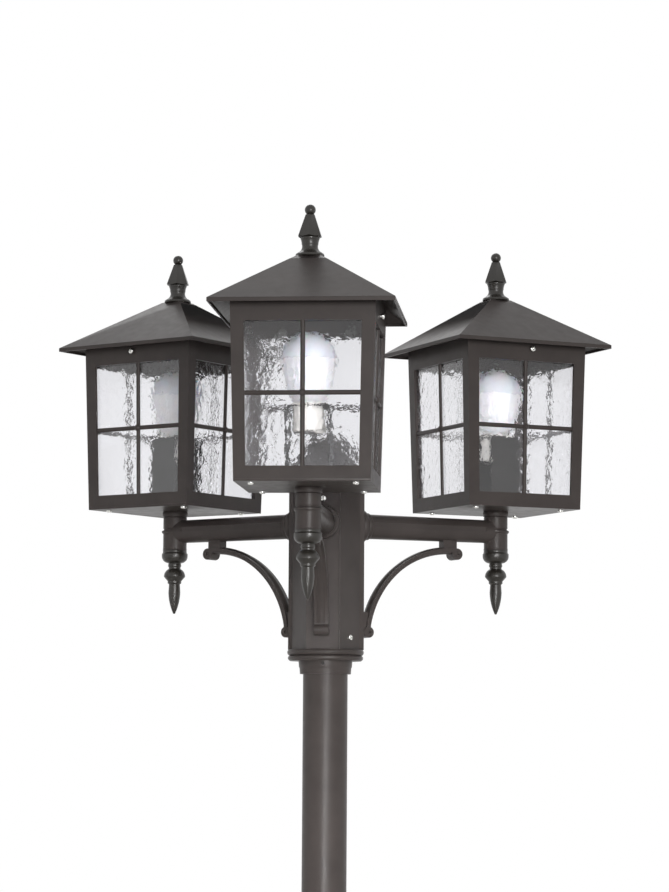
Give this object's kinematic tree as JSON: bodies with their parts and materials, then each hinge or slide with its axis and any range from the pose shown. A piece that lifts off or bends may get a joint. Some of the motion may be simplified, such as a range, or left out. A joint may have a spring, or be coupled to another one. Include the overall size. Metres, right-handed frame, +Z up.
{
  "type": "triple head lamp post",
  "caption": "Garden lamp post with square glazed lanterns on scroll-bracketed arms round a hexagonal column head, lift-off roofs, screw-in bulbs and a round bolt-down foot.",
  "frame": {"origin": "centre of the foot's bolt circle, on the ground and on the post's axis", "axes": "+Z up along the post; the front arm points to -Y and the other two follow at 120 degrees"},
  "size_m": [0.7674, 0.6646, 2.1903],
  "materials": {
    "bronze_coat": "satin powder coat, dark brown-black",
    "bright_steel": "bright stainless",
    "black_steel": "blackened",
    "spring_steel": "plain spring steel",
    "bracket_steel": "dark plated",
    "water_glass": "clear, rippled",
    "white_ceramic": "glazed",
    "bulb_plastic": "white moulded",
    "bulb_cover": "frosted white"
  },
  "bodies": {
    "root": {"post_tube": "bronze_coat", "post_base": "bronze_coat", "base_set_screws": "black_steel", "collar": "bronze_coat", "collar_set_screws": "black_steel", "column": "bronze_coat", "column_cap": "bronze_coat", "column_screws": "bright_steel", "terminal_block": "white_ceramic", "arm_nuts": "bright_steel", "stem_nipples": "bright_steel", "stem_nuts": "bright_steel", "tray_screws": "bright_steel", "roof_screws": "bright_steel", "bracket_screws": "bright_steel", "front_arm": "bronze_coat", "front_arm_rosette": "bronze_coat", "front_scroll_bracket": "bronze_coat", "front_drop_finial": "bronze_coat", "front_base_tray": "bronze_coat", "front_lantern_frame": "bronze_coat", "front_glass_panes": "water_glass", "front_pane_clips": "spring_steel", "front_lamp_bracket": "bracket_steel", "front_lamp_holder": "white_ceramic", "right_arm": "bronze_coat", "right_arm_rosette": "bronze_coat", "right_scroll_bracket": "bronze_coat", "right_drop_finial": "bronze_coat", "right_base_tray": "bronze_coat", "right_lantern_frame": "bronze_coat", "right_glass_panes": "water_glass", "right_pane_clips": "spring_steel", "right_lamp_bracket": "bracket_steel", "right_lamp_holder": "white_ceramic", "left_arm": "bronze_coat", "left_arm_rosette": "bronze_coat", "left_scroll_bracket": "bronze_coat", "left_drop_finial": "bronze_coat", "left_base_tray": "bronze_coat", "left_lantern_frame": "bronze_coat", "left_glass_panes": "water_glass", "left_pane_clips": "spring_steel", "left_lamp_bracket": "bracket_steel", "left_lamp_holder": "white_ceramic"},
    "front_roof": {"front_roof": "bronze_coat", "front_roof_finial": "bronze_coat", "front_finial_nut": "bright_steel"},
    "front_bulb": {"front_bulb_body": "bulb_plastic", "front_bulb_dome": "bulb_cover"},
    "right_roof": {"right_roof": "bronze_coat", "right_roof_finial": "bronze_coat", "right_finial_nut": "bright_steel"},
    "right_bulb": {"right_bulb_body": "bulb_plastic", "right_bulb_dome": "bulb_cover"},
    "left_roof": {"left_roof": "bronze_coat", "left_roof_finial": "bronze_coat", "left_finial_nut": "bright_steel"},
    "left_bulb": {"left_bulb_body": "bulb_plastic", "left_bulb_dome": "bulb_cover"}
  },
  "joints": [
    {"name": "front_roof_lift", "type": "slide", "parent": "root", "child": "front_roof", "axis": [0, 0, 1], "range_m": [0, 0.12]},
    {"name": "right_roof_lift", "type": "slide", "parent": "root", "child": "right_roof", "axis": [0, 0, 1], "range_m": [0, 0.12]},
    {"name": "left_roof_lift", "type": "slide", "parent": "root", "child": "left_roof", "axis": [0, 0, 1], "range_m": [0, 0.12]},
    {"name": "front_bulb_turn", "type": "hinge", "parent": "root", "child": "front_bulb", "pos_m": [0, -0.2582, 1.95], "axis": [0, 0, 1], "range_deg": [0, 1080]},
    {"name": "right_bulb_turn", "type": "hinge", "parent": "root", "child": "right_bulb", "pos_m": [0.22361, 0.1291, 1.95], "axis": [0, 0, 1], "range_deg": [0, 1080]},
    {"name": "left_bulb_turn", "type": "hinge", "parent": "root", "child": "left_bulb", "pos_m": [-0.22361, 0.1291, 1.95], "axis": [0, 0, 1], "range_deg": [0, 1080]}
  ]
}
